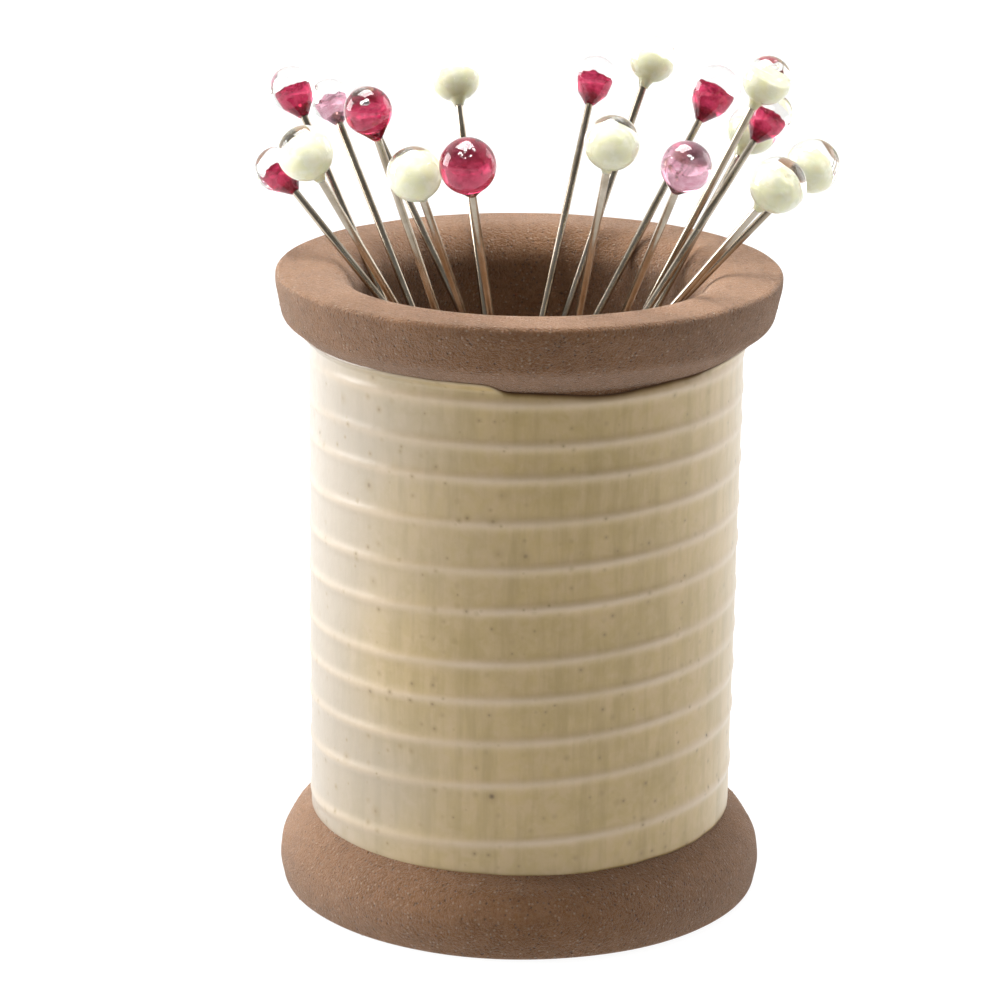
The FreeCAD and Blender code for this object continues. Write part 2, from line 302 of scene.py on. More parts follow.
@dataclass(frozen=True)
class BareClay:
    """Bare fired stoneware: matt brown with sand, scorch and a dusty sheen."""

    body: Colour = (0.262, 0.118, 0.040)
    scorched: Colour = (0.150, 0.064, 0.020)
    pale: Colour = (0.365, 0.180, 0.082)
    crust: Colour = (0.42, 0.225, 0.115)
    grit: Colour = (0.56, 0.40, 0.27)
    iron: Colour = (0.075, 0.042, 0.026)

    def build(self, effects: Effects) -> bpy.types.Material:
        """Make the material.

        Args:
            effects: The shared shader groups.

        Returns:
            The finished material.
        """
        material, graph, shader = new_material("bare_stoneware")
        place = use_group(graph, effects.millimetres).outputs[0]
        broad = use_group(graph, effects.mottle, Vector=place, Blotches_per_mm=0.22).outputs[0]
        small = use_group(graph, effects.mottle, Vector=place, Blotches_per_mm=1.1).outputs[0]
        sand = use_group(graph, effects.sand_grain, Vector=place, Grains_per_mm=3.4)
        tone = graph.mix(graph.math("MULTIPLY", broad, 0.55), self.body, self.scorched)
        tone = graph.mix(graph.math("MULTIPLY", small, 0.42), tone, self.pale)
        crumb = graph.ramp(graph.noise(place, 4.2, 3.0, 0.75), ((0.40, 0.0), (0.62, 1.0)))
        tone = graph.mix(graph.math("MULTIPLY", crumb, 0.38), tone, self.crust)
        crack = graph.ramp(graph.noise(place, 3.1, 3.0, 0.75), ((0.52, 0.0), (0.68, 1.0)))
        tone = graph.mix(graph.math("MULTIPLY", crack, 0.45), tone, self.scorched)
        tone = graph.mix(graph.math("MULTIPLY", sand.outputs["Dark"], 0.75), tone, self.iron)
        tone = graph.mix(graph.math("MULTIPLY", sand.outputs["Light"], 0.60), tone, self.grit)
        graph.tree.links.new(tone, shader.inputs["Base Color"])
        roughness = graph.math("MULTIPLY_ADD", small, -0.12, 0.86)
        graph.tree.links.new(roughness, shader.inputs["Roughness"])
        shader.inputs["Specular IOR Level"].default_value = 0.35
        shader.inputs["Sheen Weight"].default_value = 0.42
        shader.inputs["Sheen Roughness"].default_value = 0.35
        shader.inputs["Sheen Tint"].default_value = (1.0, 0.93, 0.88, 1.0)
        height = graph.math("MULTIPLY_ADD", crumb, 0.5, sand.outputs["Height"])
        add_bump(graph, shader, height, 0.20, 1.0)
        return material


@dataclass(frozen=True)
class SpeckledGlaze:
    """Cream stoneware glaze: semi-gloss, blotched, iron-specked and paler on its rings, with
    painted light that makes its left side paler and whiter.
    """

    body: Colour = (0.520, 0.370, 0.145)
    olive: Colour = (0.360, 0.255, 0.075)
    rosy: Colour = (0.560, 0.400, 0.215)
    ring: Colour = (0.620, 0.480, 0.330)
    iron: Colour = (0.135, 0.075, 0.018)
    rust: Colour = (0.270, 0.180, 0.055)
    edge: Colour = (0.125, 0.066, 0.034)
    # Painted light: the paler, whiter tone laid on the left (-X) side of the barrel, where the
    # light falls.
    pale_tone: Colour = (0.335, 0.293, 0.245)

    def build(self, effects: Effects) -> bpy.types.Material:
        """Make the material.

        Args:
            effects: The shared shader groups.

        Returns:
            The finished material, which reads the mesh's "ring" and "edge" attributes and the
            attribute that masks the painted light on the left side.
        """
        material, graph, shader = new_material("cream_glaze")
        place = use_group(graph, effects.millimetres).outputs[0]
        broad = use_group(graph, effects.mottle, Vector=place, Blotches_per_mm=0.16).outputs[0]
        small = use_group(graph, effects.mottle, Vector=place, Blotches_per_mm=0.85).outputs[0]
        large_iron = use_group(
            graph, effects.specks, Vector=place, Specks_per_mm=0.42, Share=0.30, Size=0.11
        )
        small_iron = use_group(
            graph, effects.specks, Vector=place, Specks_per_mm=1.15, Share=0.34, Size=0.16
        )
        ring = graph.node("ShaderNodeAttribute", attribute_name="ring").outputs["Fac"]
        edge = graph.node("ShaderNodeAttribute", attribute_name="edge").outputs["Fac"]
        # Mask of painted light: near 1 on the left side of the barrel.
        thickness_and_painted_light = graph.node("ShaderNodeAttribute", attribute_name="thickness_and_painted_light").outputs["Fac"]

        tone = graph.mix(graph.math("MULTIPLY", broad, 0.55), self.body, self.olive)
        tone = graph.mix(graph.math("MULTIPLY", small, 0.55), tone, self.rosy)
        drawn = graph.node(
            "ShaderNodeVectorMath", {0: place, 1: (1.0, 1.0, 0.12)}, operation="MULTIPLY"
        )
        runs = graph.noise(drawn.outputs[0], 0.75, 4.0, 0.6)
        runs = graph.ramp(runs, ((0.45, 0.0), (0.65, 1.0)))
        tone = graph.mix(graph.math("MULTIPLY", runs, 0.60), tone, self.olive)
        # Painted light: the left side is mixed towards a paler, whiter tone.
        tone = graph.mix(graph.math("MULTIPLY", thickness_and_painted_light, 0.85), tone, self.pale_tone)
        worn = graph.noise(place, 1.4, 3.0)
        thin = graph.math("MULTIPLY", ring, graph.math("MULTIPLY_ADD", worn, 0.5, 0.58))
        # The pale rings fade out where the painted light is laid on.
        thin = graph.math("MULTIPLY", thin, graph.math("MULTIPLY_ADD", thickness_and_painted_light, -0.65, 1.0))
        tone = graph.mix(thin, tone, self.ring)
        tone = graph.mix(graph.math("MULTIPLY", small_iron.outputs["Halo"], 0.45), tone, self.rust)
        tone = graph.mix(graph.math("MULTIPLY", small_iron.outputs["Mask"], 0.50), tone, self.iron)
        tone = graph.mix(graph.math("MULTIPLY", large_iron.outputs["Halo"], 0.40), tone, self.rust)
        tone = graph.mix(large_iron.outputs["Mask"], tone, self.iron)
        tone = graph.mix(edge, tone, self.edge)
        graph.tree.links.new(tone, shader.inputs["Base Color"])

        roughness = graph.math("MULTIPLY_ADD", small, 0.10, 0.30)
        graph.tree.links.new(roughness, shader.inputs["Roughness"])
        shader.inputs["IOR"].default_value = 1.50
        shader.inputs["Coat Weight"].default_value = 0.6
        shader.inputs["Coat IOR"].default_value = 1.50
        shader.inputs["Coat Roughness"].default_value = 0.32
        ripple = graph.noise(place, 0.9, 2.0)
        skin = graph.math("MULTIPLY_ADD", graph.noise(place, 5.0, 2.0), 0.12, ripple)
        pitted = graph.math("SUBTRACT", skin, large_iron.outputs["Mask"])
        add_bump(graph, shader, pitted, 0.05, 0.6)
        return material


@dataclass(frozen=True)
class PinSteel:
    """Nickel-plated wire with draw marks and a warm tarnish."""

    bright: Colour = (0.46, 0.41, 0.34)
    tarnish: Colour = (0.22, 0.165, 0.10)

    def build(self, effects: Effects) -> bpy.types.Material:
        """Make the material.

        Args:
            effects: The shared shader groups.

        Returns:
            The finished material.
        """
        material, graph, shader = new_material("pin_steel")
        place = use_group(graph, effects.millimetres).outputs[0]
        patches = use_group(graph, effects.mottle, Vector=place, Blotches_per_mm=0.35).outputs[0]
        marks = graph.noise(place, 14.0, 3.0)
        tone = graph.mix(graph.math("MULTIPLY", patches, 0.6), self.bright, self.tarnish)
        graph.tree.links.new(tone, shader.inputs["Base Color"])
        graph.tree.links.new(
            graph.math("MULTIPLY_ADD", marks, 0.12, 0.14), shader.inputs["Roughness"]
        )
        shader.inputs["Metallic"].default_value = 1.0
        add_bump(graph, shader, marks, 0.01, 0.4)
        return material


@dataclass(frozen=True)
class MagnetPlating:
    """Nickel plating on a disc magnet, rubbed dull by pin points."""

    plate: Colour = (0.30, 0.29, 0.27)
    scuffed: Colour = (0.15, 0.14, 0.13)

    def build(self, effects: Effects) -> bpy.types.Material:
        """Make the material.

        Args:
            effects: The shared shader groups.

        Returns:
            The finished material.
        """
        material, graph, shader = new_material("magnet_plating")
        place = use_group(graph, effects.millimetres).outputs[0]
        scuffs = use_group(graph, effects.mottle, Vector=place, Blotches_per_mm=0.9).outputs[0]
        dents = use_group(
            graph, effects.specks, Vector=place, Specks_per_mm=1.6, Share=0.3, Size=0.2
        ).outputs["Mask"]
        tone = graph.mix(graph.math("MULTIPLY", scuffs, 0.6), self.plate, self.scuffed)
        graph.tree.links.new(tone, shader.inputs["Base Color"])
        graph.tree.links.new(
            graph.math("MULTIPLY_ADD", scuffs, 0.20, 0.38), shader.inputs["Roughness"]
        )
        shader.inputs["Metallic"].default_value = 1.0
        add_bump(graph, shader, graph.math("SUBTRACT", 1.0, dents), 0.03, 0.5)
        return material


@dataclass(frozen=True)
class CreamGlass:
    """Opaque cream-white glass with milky clouds."""

    pale_tone: Colour = (0.88, 0.87, 0.58)
    cloud: Colour = (0.91, 0.90, 0.72)

    def build(self, effects: Effects) -> bpy.types.Material:
        """Make the material.

        Args:
            effects: The shared shader groups.

        Returns:
            The finished material.
        """
        material, graph, shader = new_material("cream_glass")
        place = use_group(graph, effects.millimetres).outputs[0]
        clouds = use_group(graph, effects.mottle, Vector=place, Blotches_per_mm=1.2).outputs[0]
        graph.tree.links.new(graph.mix(clouds, self.pale_tone, self.cloud), shader.inputs["Base Color"])
        graph.tree.links.new(
            graph.math("MULTIPLY_ADD", clouds, 0.08, 0.22), shader.inputs["Roughness"]
        )
        shader.inputs["Subsurface Weight"].default_value = 0.7
        shader.inputs["Subsurface Radius"].default_value = (1.0, 0.9, 0.7)
        shader.inputs["Subsurface Scale"].default_value = 0.6 * MM
        add_bump(graph, shader, graph.noise(place, 3.0, 2.0), 0.02, 0.4)
        return material


@dataclass(frozen=True)
class MagentaGlass:
    """Translucent magenta glass, streaked and full of fine seeds."""

    deep: Colour = (0.40, 0.010, 0.050)
    bright: Colour = (0.80, 0.075, 0.190)
    seed: Colour = (0.90, 0.50, 0.62)
    clear_share: float = 0.7

    def build(self, effects: Effects, name: str) -> bpy.types.Material:
        """Make the material.

        Args:
            effects: The shared shader groups.
            name: The material's name.

        Returns:
            The finished material.
        """
        material, graph, shader = new_material(name)
        place = use_group(graph, effects.millimetres).outputs[0]
        streaks = use_group(graph, effects.mottle, Vector=place, Blotches_per_mm=1.5).outputs[0]
        seeds = use_group(
            graph, effects.specks, Vector=place, Specks_per_mm=2.6, Share=0.4, Size=0.22
        ).outputs["Mask"]
        tone = graph.mix(streaks, self.deep, self.bright)
        tone = graph.mix(seeds, tone, self.seed)
        graph.tree.links.new(tone, shader.inputs["Base Color"])
        graph.tree.links.new(
            graph.math("MULTIPLY_ADD", streaks, 0.10, 0.08), shader.inputs["Roughness"]
        )
        shader.inputs["IOR"].default_value = 1.08
        shader.inputs["Transmission Weight"].default_value = self.clear_share
        height = graph.math("MULTIPLY_ADD", seeds, 0.6, graph.noise(place, 2.2, 3.0))
        add_bump(graph, shader, height, 0.20, 0.9)
        return material


PALE_PINK_GLASS = MagentaGlass(
    deep=(0.70, 0.30, 0.42),
    bright=(0.90, 0.62, 0.72),
    seed=(0.97, 0.88, 0.92),
    clear_share=0.8,
)


@dataclass(frozen=True)
class ClearGlass:
    """Clear soda glass with faint cords and a slightly uneven skin."""

    tint: Colour = (0.925, 0.925, 0.915)
    cord: Colour = (0.86, 0.865, 0.86)

    def build(self, effects: Effects) -> bpy.types.Material:
        """Make the material.

        Args:
            effects: The shared shader groups.

        Returns:
            The finished material.
        """
        material, graph, shader = new_material("clear_glass")
        place = use_group(graph, effects.millimetres).outputs[0]
        cords = use_group(graph, effects.mottle, Vector=place, Blotches_per_mm=0.8).outputs[0]
        graph.tree.links.new(graph.mix(cords, self.tint, self.cord), shader.inputs["Base Color"])
        shader.inputs["Roughness"].default_value = 0.0
        shader.inputs["IOR"].default_value = 1.50
        shader.inputs["Transmission Weight"].default_value = 1.0
        add_bump(graph, shader, graph.noise(place, 0.6, 1.0), 0.02, 0.35)
        return material


@dataclass(frozen=True)
class BubbleGlass:
    """The skin of a bubble caught in glass: it mirrors nearly all the light."""

    mirror: Colour = (0.93, 0.93, 0.94)
    film: Colour = (0.78, 0.80, 0.82)

    def build(self, effects: Effects) -> bpy.types.Material:
        """Make the material.

        Args:
            effects: The shared shader groups.

        Returns:
            The finished material.
        """
        material, graph, shader = new_material("bubble_glass")
        place = use_group(graph, effects.millimetres).outputs[0]
        film = use_group(graph, effects.mottle, Vector=place, Blotches_per_mm=3.0).outputs[0]
        graph.tree.links.new(graph.mix(film, self.mirror, self.film), shader.inputs["Base Color"])
        graph.tree.links.new(
            graph.math("MULTIPLY_ADD", film, 0.06, 0.03), shader.inputs["Roughness"]
        )
        shader.inputs["Metallic"].default_value = 1.0
        return material


@dataclass(frozen=True)
class StudioFloor:
    """Plain white paper with a very faint tooth that glows: painted light, stronger at its sides
    and far end, and weaker in front, which is painted shade.
    """

    paper: Colour = (0.10, 0.10, 0.10)
    # Glow strengths: painted light at the left, right and far end, painted shade in front.
    glow: float = 0.94
    left_glow: float = 1.8
    right_glow: float = 1.35
    far_glow: float = 1.5
    front_glow: float = 0.50

    @staticmethod
    def ramp_along(graph: Graph, value, reach: Point, ends: Point):
        """A smooth change between two strengths along a coordinate.

        Args:
            graph: The material's tree.
            value: The coordinate's socket, in millimetres.
            reach: Where the change starts and ends.
            ends: The strengths there.

        Returns:
            The strength's socket.
        """
        made = graph.node(
            "ShaderNodeMapRange",
            {
                "Value": value,
                "From Min": reach[0],
                "From Max": reach[1],
                "To Min": ends[0],
                "To Max": ends[1],
            },
            interpolation_type="SMOOTHSTEP",
        )
        return made.outputs[0]

    def build(self, effects: Effects) -> bpy.types.Material:
        """Make the material.

        Args:
            effects: The shared shader groups.

        Returns:
            The finished material.
        """
        material, graph, shader = new_material("studio_paper")
        place = use_group(graph, effects.millimetres).outputs[0]
        shader.inputs["Base Color"].default_value = (*self.paper, 1.0)
        shader.inputs["Roughness"].default_value = 0.9
        shader.inputs["Specular IOR Level"].default_value = 0.1
        shader.inputs["Emission Color"].default_value = (1.0, 1.0, 1.0, 1.0)
        split = graph.node("ShaderNodeSeparateXYZ", {0: place})
        # Painted light: the paper glows brighter to the left, right and far back, and dimmer in
        # front as painted shade.
        left = self.ramp_along(graph, split.outputs["X"], (-45.0, -110.0), (1.0, self.left_glow))
        right = self.ramp_along(graph, split.outputs["X"], (45.0, 110.0), (1.0, self.right_glow))
        far = self.ramp_along(graph, split.outputs["Y"], (440.0, 700.0), (1.0, self.far_glow))
        front = self.ramp_along(graph, split.outputs["Y"], (-160.0, -20.0), (self.front_glow, 1.0))
        lit = graph.math("MULTIPLY", graph.math("MULTIPLY", left, right), far)
        lit = graph.math("MULTIPLY", lit, front)
        lit = graph.math("MULTIPLY", lit, self.glow)
        graph.tree.links.new(lit, shader.inputs["Emission Strength"])
        add_bump(graph, shader, graph.noise(place, 2.0, 2.0), 0.02, 0.2)
        return material


@dataclass
class Palette:
    """Every finish, built once."""

    effects: Effects = field(default_factory=Effects)

    def __post_init__(self) -> None:
        self.clay = BareClay().build(self.effects)
        self.glaze = SpeckledGlaze().build(self.effects)
        self.steel = PinSteel().build(self.effects)
        self.magnet = MagnetPlating().build(self.effects)
        self.cream = CreamGlass().build(self.effects)
        self.magenta = MagentaGlass().build(self.effects, "magenta_glass")
        self.pale_pink = PALE_PINK_GLASS.build(self.effects, "pale_pink_glass")
        self.clear = ClearGlass().build(self.effects)
        self.bubble = BubbleGlass().build(self.effects)
        self.floor = StudioFloor().build(self.effects)


# ---------------------------------------------------------------------------
# Mesh helpers
# ---------------------------------------------------------------------------

@dataclass(frozen=True)
class Corner:
    """A corner of a half section, rounded by an arc."""

    radius: float
    height: float
    round: float = 0.0


def rounded(corners: Sequence[Corner], step_deg: float = 7.5) -> list[Point]:
    """Walk an open polyline and replace its corners by arcs.

    Args:
        corners: The polyline's corners, whose first and last are kept sharp.
        step_deg: The turn between two points of an arc.

    Returns:
        (radius, height) points along the rounded line.
    """
    points: list[Point] = [(corners[0].radius, corners[0].height)]
    for before, corner, after in zip(corners, corners[1:], corners[2:]):
        here = Vector((corner.radius, corner.height))
        to_before = (Vector((before.radius, before.height)) - here).normalized()
        to_after = (Vector((after.radius, after.height)) - here).normalized()
        half = to_before.angle(to_after) / 2
        if corner.round <= 0 or math.pi / 2 - half < 1e-4:
            points.append((here.x, here.y))
            continue
        centre = here + (to_before + to_after).normalized() * (corner.round / math.sin(half))
        reach = corner.round / math.tan(half)
        start = here + to_before * reach - centre
        turn = (here + to_after * reach - centre).angle_signed(start)
        count = max(2, round(abs(math.degrees(turn)) / step_deg))
        for number in range(count + 1):
            spot = centre + Matrix.Rotation(turn * number / count, 2) @ start
            points.append((spot.x, spot.y))
    points.append((corners[-1].radius, corners[-1].height))
    return points


def resampled(points: Sequence[Point], step: float) -> list[Point]:
    """Divide the long runs of a polyline so that no run is longer than ``step``."""
    result: list[Point] = [points[0]]
    for start, end in zip(points, points[1:]):
        length = math.dist(start, end)
        count = max(1, math.ceil(length / step))
        for number in range(1, count + 1):
            share = number / count
            result.append(tuple(a + (b - a) * share for a, b in zip(start, end)))
    return result


def turned_mesh(
    name: str,
    section: Sequence[Point],
    segments: int,
    shift: Callable[[float, float, float], Vector] | None = None,
) -> bpy.types.Mesh:
    """Turn a half section into a closed mesh about the Z axis.

    Args:
        name: The mesh's name.
        section: (radius, height) points from the axis, round the outside, back to the axis,
            with the solid on the left of the walk.
        segments: Faces round the axis.
        shift: Moves a point, from its radius, height and angle, to its final place.

    Returns:
        A smooth-shaded closed mesh with normals outward.
    """
    form = bmesh.new()
    rings: list[list[bmesh.types.BMVert]] = []
    for radius, height in section:
        on_axis = radius < 1e-9
        ring = []
        for number in range(1 if on_axis else segments):
            angle = 2 * math.pi * number / segments
            if shift and not on_axis:
                place = shift(radius, height, angle)
            else:
                place = Vector((radius * math.cos(angle), radius * math.sin(angle), height))
            ring.append(form.verts.new(place))
        rings.append(ring)
    for lower, upper in zip(rings, rings[1:]):
        for number in range(segments):
            following = (number + 1) % segments
            corners = [lower[number % len(lower)], lower[following % len(lower)]]
            corners += [upper[following % len(upper)], upper[number % len(upper)]]
            unique = list(dict.fromkeys(corners))
            if len(unique) > 2:
                form.faces.new(unique)
    if section[0] == section[-1]:
        bmesh.ops.remove_doubles(form, verts=form.verts, dist=1e-8)
    bmesh.ops.recalc_face_normals(form, faces=form.faces)
    mesh = bpy.data.meshes.new(name)
    form.to_mesh(mesh)
    form.free()
    mesh.polygons.foreach_set("use_smooth", [True] * len(mesh.polygons))
    return mesh


def new_piece(name: str, mesh: bpy.types.Mesh, material: bpy.types.Material) -> bpy.types.Object:
    """Put a mesh in the scene as an object at the origin with one material."""
    mesh.materials.clear()
    mesh.materials.append(material)
    piece = bpy.data.objects.new(name, mesh)
    bpy.context.scene.collection.objects.link(piece)
    return piece


def attach(piece: bpy.types.Object, body: str, slot: str, *nodes: str) -> None:
    """Make a piece ride on a body and stand for CAD nodes, which it hides."""
    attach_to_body(piece, body)
    if nodes:
        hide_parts(*nodes)
    log.info("%s rides on %s, %d faces", piece.name, body, len(piece.data.polygons))


# ---------------------------------------------------------------------------
# The reel
# ---------------------------------------------------------------------------

@dataclass
class ThrowingRings:
    """The raised spiral in the glaze, as its heights on the front of the barrel."""

    front_mm: tuple[float, ...] = (9.0, 13.9, 17.3, 20.8, 23.8, 28.1, 31.3, 35.0, 38.5, 41.1, 44.4)
    half_width_mm: float = 0.42
    relief_mm: float = 0.13
    tilt_share: tuple[float, ...] = (0.0, 0.12, 0.6, 1.0)
    tilt_mm: tuple[float, ...] = (0.3, 0.5, 0.45, -0.3)

    def heights(self, angle: float) -> np.ndarray:
        """Heights of all the turns at an angle, in metres.

        Args:
            angle: The angle round the axis from +X, in radians.

        Returns:
            One height for each turn, from the lowest up.
        """
        front = np.array(self.front_mm)
        ahead = (angle - 1.5 * math.pi + math.pi) % (2 * math.pi) - math.pi
        turns = np.arange(len(front)) + ahead / (2 * math.pi)
        known = np.arange(-1, len(front) + 1)
        ends = (2 * front[0] - front[1], *front, 2 * front[-1] - front[-2])
        height = np.interp(turns, known, ends)
        share = (front - front[0]) / (front[-1] - front[0])
        tilt = np.interp(share, self.tilt_share, self.tilt_mm)
        return (height + tilt * math.cos(angle)) * MM


@dataclass
class Reel:
    """The clay body, its glaze coat, loose grit and the magnet."""

    palette: Palette
    rings: ThrowingRings = field(default_factory=ThrowingRings)
    barrel_radius: float = 16.9 * MM
    well_radius: float = 13.5 * MM
    clay_segments: int = 288
    glaze_segments: int = 320
    glaze_rows: int = 236
    rim_shift: float = 0.14 * MM
    grit_count: int = 2000

    def __post_init__(self) -> None:
        low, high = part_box("stoneware_spool")
        self.height = high.z
        self.flange_radius = high.x
        self.foot_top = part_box("glaze_coat")[0].z
        self.flange_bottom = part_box("glaze_coat")[1].z
        self.well_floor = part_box("disc_magnet")[0].z

    def build(self) -> None:
        """Build every piece of the reel."""
        clay = self.build_clay()
        self.build_grit(clay)
        self.build_glaze()
        self.dress_magnet()

    def section(self) -> list[Point]:
        """The clay's half section, from the base round the outside and down the well."""
        wide = self.flange_radius
        top = self.height
        barrel = self.barrel_radius
        well = self.well_radius
        under = self.flange_bottom
        foot = self.foot_top
        corners = (
            Corner(0, 0),
            Corner(wide - 0.75 * MM, 0, 0.5 * MM),
            Corner(wide - 0.38 * MM, 1.7 * MM, 2.0 * MM),
            Corner(wide - 0.55 * MM, 3.35 * MM, 2.2 * MM),
            Corner(wide - 1.55 * MM, foot - 1.05 * MM, 2.2 * MM),
            Corner(barrel, foot + 0.15 * MM, 0.15 * MM),
            Corner(barrel, under, 0.2 * MM),
            Corner(wide - 0.55 * MM, under + 2.0 * MM, 1.3 * MM),
            Corner(wide, top - 1.0 * MM, 2.6 * MM),
            Corner(wide - 0.02 * MM, top, 0.42 * MM),
            Corner(well, top, 3.0 * MM),
            Corner(well, self.well_floor, 2.0 * MM),
            Corner(0, self.well_floor),
        )
        return resampled(rounded(corners), 0.55 * MM)

    def clay_shift(self, radius: float, height: float, angle: float) -> Vector:
        """Where a point of the clay really is: a little out of round, as thrown."""
        around = Vector((math.cos(angle), math.sin(angle), 0))
        rim = max(0.0, 1 - abs(height - self.height) / (7 * MM))
        foot = max(0.0, 1 - height / (7 * MM))
        outer = min(1.0, max(0.0, (radius - self.barrel_radius) / (2 * MM)))
        wander = 0.05 * math.sin(2 * angle + 0.6) + 0.03 * math.sin(3 * angle + 2.1)
        wander += 0.06 * noise.noise(around * 2.3 + Vector((0, 0, height / (4 * MM))))
        place = around * (radius + wander * outer * min(1.0, rim + foot) * MM)
        place.x += self.rim_shift * outer * rim
        lift = 0.18 * foot * math.cos(angle) * outer * min(1.0, height / (2.5 * MM))
        lift += 0.05 * noise.noise(around * 4.0 + Vector((0, 0, 9.0))) * outer * rim
        place.z = height + lift * MM
        return place

    def build_clay(self) -> bpy.types.Object:
        """The fired clay body as one closed turned mesh."""
        mesh = turned_mesh("reel_clay", self.section(), self.clay_segments, self.clay_shift)
        clay = new_piece("reel_clay", mesh, self.palette.clay)
        attach(clay, "reel", "bare_stoneware", "stoneware_spool")
        return clay

    def glaze_edges(self, angle: float) -> tuple[float, float]:
        """Lowest and highest point of the glaze at an angle: both edges wander."""
        around = Vector((math.cos(angle), math.sin(angle), 0))
        low = self.foot_top + 0.30 * math.cos(angle - 0.35) * MM
        low += (0.12 * noise.noise(around * 2.2) + 0.06 * noise.noise(around * 9)) * MM
        ahead = (angle - 1.5 * math.pi + math.pi) % (2 * math.pi) - math.pi
        bare = 1 / (1 + math.exp(-(ahead + 0.13) * 60)) / (1 + math.exp((ahead - 1.05) * 14))
        sag = 0.35 * math.exp(-(((ahead - 0.36) / 0.22) ** 2))
        high = self.flange_bottom + (0.85 - (0.85 + sag) * bare) * MM
        high += 0.06 * noise.noise(around * 7 + Vector((0, 0, 5))) * MM
        return low, high

    def build_glaze(self) -> bpy.types.Object:
        """The glaze coat: a closed skin with a raised spiral and wandering, swelled edges,
        carrying a mask of painted light on its left side.
        """
        rows, columns = self.glaze_rows, self.glaze_segments
        inner = self.barrel_radius - 0.05 * MM
        places = np.zeros((rows, columns, 3))
        ring = np.zeros((rows, columns))
        edge = np.zeros((rows, columns))
        whitish = np.zeros((rows, columns))
        for column in range(columns):
            angle = 2 * math.pi * column / columns
            around = Vector((math.cos(angle), math.sin(angle), 0))
            low, high = self.glaze_edges(angle)
            turns = self.rings.heights(angle)
            for row in range(rows):
                share = row / (rows - 1)
                height = low + (high - low) * share
                gap = np.min(np.abs(turns - height)) / MM
                crest = math.exp(-((gap / self.rings.half_width_mm) ** 2))
                crest *= 0.85 + 0.3 * noise.noise(around * 3 + Vector((0, 0, height * 160)))
                slow = noise.noise(around * 1.8 + Vector((0, 0, height * 110)))
                from_edge = min(height - low, high - height) / MM
                bead = 1 - math.exp(-from_edge / 0.10)
                # The coat's real thickness in millimetres, swelled on the rings.
                thickness_and_painted_light = 0.13 * (1 - share) + 0.30 * share + 0.05 * slow
                thickness_and_painted_light += self.rings.relief_mm * crest
                under = max(0.0, height - self.flange_bottom) * 1.28
                radius = self.barrel_radius + (0.02 + thickness_and_painted_light * bead) * MM + under * 0.92
                places[row, column] = (radius * around.x, radius * around.y, height)
                ring[row, column] = min(1.0, crest)
                edge[row, column] = math.exp(-from_edge / 0.13)
                # Painted light: a mask near 1 on the left (-X) side that fades out before the
                # front and back, where the glaze is painted paler.
                side = around.x + 0.55 + 0.25 * slow
                whitish[row, column] = 0.5 - 0.5 * math.tanh(3.2 * side)
        mesh = self.skin_mesh("reel_glaze", places, inner)
        for label, values in (("ring", ring), ("edge", edge), ("thickness_and_painted_light", whitish)):
            attribute = mesh.attributes.new(label, "FLOAT", "POINT")
            filled = np.zeros(len(mesh.vertices))
            filled[: rows * columns] = values.ravel()
            attribute.data.foreach_set("value", filled)
        glaze = new_piece("reel_glaze", mesh, self.palette.glaze)
        attach(glaze, "reel", "cream_glaze", "glaze_coat")
        return glaze

    @staticmethod
    def skin_mesh(name: str, places: np.ndarray, inner: float) -> bpy.types.Mesh:
        """Close a grid of outer points over a plain inner cylinder.

        Args:
            name: The mesh's name.
            places: Outer points by row (bottom to top) and column (round the axis).
            inner: The inner cylinder's radius.

        Returns:
            A closed smooth mesh whose first vertices are the outer points.
        """
        rows, columns, _ = places.shape
        outer = places.reshape(-1, 3)
        ends = []
        for row in (0, rows - 1):
            line = places[row].copy()
            flat = np.hypot(line[:, 0], line[:, 1])[:, None]
            line[:, :2] *= inner / flat
            ends.append(line)
        vertices = np.vstack([outer, *ends])
        first = rows * columns
        faces = []
        for column in range(columns):
            after = (column + 1) % columns
            for row in range(rows - 1):
                here = row * columns
                above = here + columns
                faces.append((here + column, here + after, above + after, above + column))
            top = (rows - 1) * columns
            last = first + columns
            faces.append((after, column, first + column, first + after))
            faces.append((top + column, top + after, last + after, last + column))
            faces.append((first + after, first + column, last + column, last + after))
        mesh = bpy.data.meshes.new(name)
        mesh.from_pydata(vertices.tolist(), [], faces)
        mesh.polygons.foreach_set("use_smooth", [True] * len(mesh.polygons))
        mesh.update()
        return mesh

    def build_grit(self, clay: bpy.types.Object) -> bpy.types.Object:
        """Sand grains that stand out of the bare clay, scattered by Geometry Nodes."""
        mesh = Scatter(self.grit_count, self.palette.clay).apply(clay)
        grit = new_piece("reel_grit", mesh, self.palette.clay)
        attach(grit, "reel", "bare_stoneware")
        return grit

    def dress_magnet(self) -> None:
        """The magnet keeps its CAD shape and takes worn plating."""
        magnet = frame["nodes"]["disc_magnet"]
        magnet.data.materials.clear()
        magnet.data.materials.append(self.palette.magnet)


